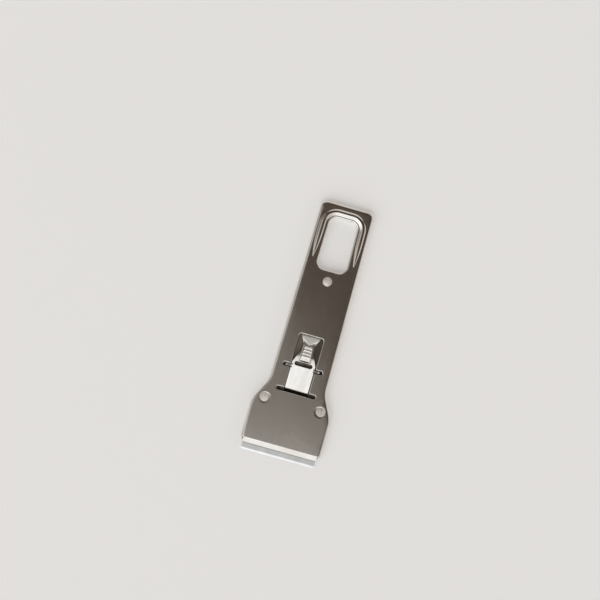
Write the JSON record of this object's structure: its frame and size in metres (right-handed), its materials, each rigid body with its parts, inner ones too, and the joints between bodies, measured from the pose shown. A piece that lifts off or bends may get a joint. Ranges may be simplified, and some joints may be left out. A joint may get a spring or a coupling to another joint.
{
  "type": "ceramic hob scraper",
  "caption": "All-metal hob scraper: riveted sheet shells with a hanging hole, and a thumb slide that moves a flat steel blade in and out of the lip.",
  "frame": {"origin": "centre of the part's box at rest, on the plane of its back face", "axes": "+Y along the tool from the blade to the hanging hole, +Z out of the front face, +X to the right as seen from the front with the hanging hole up"},
  "size_m": [0.0436, 0.138, 0.0071],
  "materials": {
    "plated_shell": "bright nickel plate",
    "plated_back": "bright nickel plate",
    "rivet": "satin",
    "carrier": "zinc plate",
    "blade": "ground",
    "spring": "polished"
  },
  "bodies": {
    "shell": {"front_shell": "plated_shell", "back_shell": "plated_back", "handle_rivet": "rivet", "left_head_rivet": "rivet", "right_head_rivet": "rivet"},
    "carriage": {"blade_carrier": "carrier", "blade": "blade", "left_slide_rivet": "rivet", "right_slide_rivet": "rivet"},
    "thumb_latch": {"thumb_slide": "spring"}
  },
  "joints": [
    {"name": "blade_slide", "type": "slide", "parent": "shell", "child": "carriage", "axis": [0, -1, 0], "range_m": [-0.005, 0.01315]},
    {"name": "thumb_press", "type": "hinge", "parent": "carriage", "child": "thumb_latch", "pos_m": [0, -0.041, 0.0024], "axis": [-1, 0, 0], "range_deg": [0, 2], "stiffness_Nm_per_rad": 2}
  ]
}
